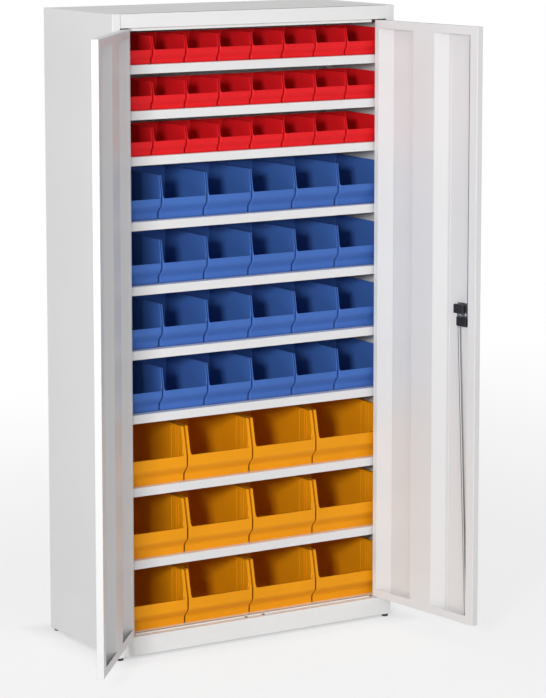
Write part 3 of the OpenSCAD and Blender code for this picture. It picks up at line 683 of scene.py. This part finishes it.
def bin_form(b):
    """One bin in its own axes: across, back from the lip, up from its floor."""
    bm = bmesh.new()
    half, body = b["width"] / 2, b["width"] / 2 - b["over"]
    depth, height, lip, wall, brow, roll = (b[k] for k in ("depth", "height", "lip", "wall", "brow", "roll"))
    take_in(bm, bin_shell(b, body))
    if b["ribs"]:
        ribbon(bm, (front_curve(b) + [(wall + 2.2, lip)])[::-1], "side", -half, half, wall, bend=0)
        rim = [(0.2, lip - 1.0), (brow, height), (depth, height)]
        skirt = [(depth, height), (brow + 1, height - 0.2), (0.4, lip), (roll, lip),
                 (brow + roll, height - roll), (depth, height - roll)]
        for side in (-1, 1):
            low, high = sorted((side * (body - wall * 0.9), side * half))
            ribbon(bm, rim[::-1], "side", low, high, 2.0, bend=5.0, segments=5)
            low, high = sorted((side * (half - 1.4), side * half))
            drawn_out(bm, skirt, "side", low, high, 0.3)
            low, high = sorted((side * (body - wall - RIB_PROUD), side * (body - wall + 0.2)))
            for back in b["ribs"]:
                block(bm, (low, back, wall), (high, back + RIB, height - RIB_SHORT), 0.4, 1)
    block(bm, (4 - body, depth - 1.6 - wall, height - 2.0), (body - 4, depth, height), 0.6, 2)
    return bm


def bin_groups(kind, last):
    """Which bins of a kind, as (level, column), each node holds."""
    rows = ROWS[kind]
    groups = {f"{kind}_end_bins": [(level, c) for level in rows for c in (0, last)]}
    for number, level in enumerate(rows, 1):
        if kind == "yellow":
            groups[f"yellow_{number}_left_bin"] = [(level, 1)]
            groups[f"yellow_{number}_right_bin"] = [(level, 2)]
        else:
            lone = LONE_COLUMN[kind]
            groups[f"{kind}_{number}_bin"] = [(level, lone)]
            groups[f"{kind}_{number}_bins"] = [(level, c) for c in range(1, last) if c != lone]
    return groups


def bins():
    for kind, b in BINS.items():
        form = bin_form(b)
        last = b["columns"] - 1
        for node, places in bin_groups(kind, last).items():
            bm = bmesh.new()
            for level, column in places:
                copy = form.copy()
                x = (column - last / 2) * b["pitch"]
                bmesh.ops.translate(copy, vec=(x, BIN_FRONT, level + GLIDE), verts=copy.verts)
                take_in(bm, copy)
            body = "carcass" if node.endswith("end_bins") else node
            piece(node + "_moulded", bm, PLASTICS[kind], body, [node])
        form.free()


side_panels()
top_and_base()
shelves()
feet()
stops_and_spacers()
for side in (-1, 1):
    door_tray(side)
    door_hat(side)
lock_pieces()
bins()

KEPT_NODES = {
    "back_panel": body_paint, "shelf_rails": body_paint, "shelf_clips": zinc_steel,
    "hinge_pins": zinc_steel, "left_hinge_sleeves": zinc_steel, "right_hinge_sleeves": zinc_steel,
    "lock_plate": zinc_steel, "lock_screws": zinc_steel, "lock_spindle": zinc_steel,
    "lock_cam": zinc_steel, "key_cylinder": zinc_steel, "upper_rod": rod_steel, "lower_rod": rod_steel,
}
for node, finish in KEPT_NODES.items():
    slots = frame["nodes"][node].data.materials
    slots.clear()
    slots.append(finish)


# ---------------------------------------------------------------- stage, light and camera, in metres

FLOOR_SIZE = 40.0
UNDER, BESIDE = (-0.02, 0.10), (0.50, 0.76)     # the floor's own white grows just outside the footprint
FAR = (0.4, 3.6)                                # and is full out here
SOFT_LIGHT, SEEN_WHITE = 0.32, 1.0
LENS, SHIFT_X, SHIFT_Y = 148.56, -0.01093, -0.12
CAMERA_AT, YAW, PITCH = (-4.2164, -7.0352, 2.2387), math.radians(32.132), math.radians(8.201)
PURE_WHITE = (1.0, 1.0, 1.0, 1.0)


def stage():
    """A pale floor that keeps the shadow near the cabinet and shows as white further out."""
    bm = bmesh.new()
    bmesh.ops.create_grid(bm, x_segments=2, y_segments=2, size=FLOOR_SIZE)
    mesh = bpy.data.meshes.new("floor")
    bm.to_mesh(mesh)
    bm.free()
    floor = bpy.data.objects.new("floor", mesh)
    bpy.context.scene.collection.objects.link(floor)
    f = Finish("floor_white")
    pale = f.noise(0.8, 2.0)
    base = f.blend(pale, (0.86, 0.86, 0.86, 1.0), (0.89, 0.89, 0.89, 1.0))
    ground = f.node("ShaderNodeBsdfDiffuse", None, {"Color": base})
    glow = f.node("ShaderNodeEmission", None, {"Color": PURE_WHITE, "Strength": SEEN_WHITE})
    outside = (f.axis("X").size() - HALF_W * MM).larger(f.axis("Y").size() - HALF_D * MM)
    near = f.spread(outside, *UNDER, *BESIDE)
    share = f.spread(outside, *FAR) * (1.0 - near) + near
    mix = f.node("ShaderNodeMixShader", None, {0: f.shown_white() * share, 1: ground, 2: glow})
    mesh.materials.append(f.ended(mix))


def world():
    made = bpy.data.worlds.new("studio")
    bpy.context.scene.world = made
    w = Shading(made)
    soft = w.node("ShaderNodeBackground", None, {"Color": PURE_WHITE, "Strength": SOFT_LIGHT})
    seen = w.node("ShaderNodeBackground", None, {"Color": PURE_WHITE, "Strength": SEEN_WHITE})
    mix = w.node("ShaderNodeMixShader", None, {0: w.shown_white(), 1: soft, 2: seen})
    w.node("ShaderNodeOutputWorld", None, {"Surface": mix})


def set_up(name, data, at, ahead):
    """Stands a lamp or the camera at a place, looking along a direction."""
    made = bpy.data.objects.new(name, data)
    made.location = at
    made.rotation_euler = ahead.to_track_quat("-Z", "Y").to_euler()
    bpy.context.scene.collection.objects.link(made)
    return made


def lamp(name, at, towards, size, power):
    data = bpy.data.lights.new(name, "AREA")
    data.shape, data.size, data.energy = "SQUARE", size, power
    set_up(name, data, at, Vector(towards) - Vector(at))


def camera():
    data = bpy.data.cameras.new("camera")
    data.sensor_width, data.lens = 36.0, LENS
    data.shift_x, data.shift_y = SHIFT_X, SHIFT_Y
    data.clip_end = 100.0
    level = math.cos(PITCH)
    ahead = Vector((math.sin(YAW) * level, math.cos(YAW) * level, -math.sin(PITCH)))
    bpy.context.scene.camera = set_up("camera", data, CAMERA_AT, ahead)


stage()
world()
lamp("key", (-5.2, -5.45, 2.6), (0.0, -0.2, 1.0), size=1.1, power=318.0)
lamp("front_fill", (-1.5, -7.2, 2.4), (0.0, -0.2, 1.0), size=2.0, power=50.0)
lamp("overhead", (-0.4, -0.8, 4.6), (0.0, 0.0, 1.8), size=2.4, power=12.0)
camera()
bpy.context.scene.view_settings.view_transform = "Standard"
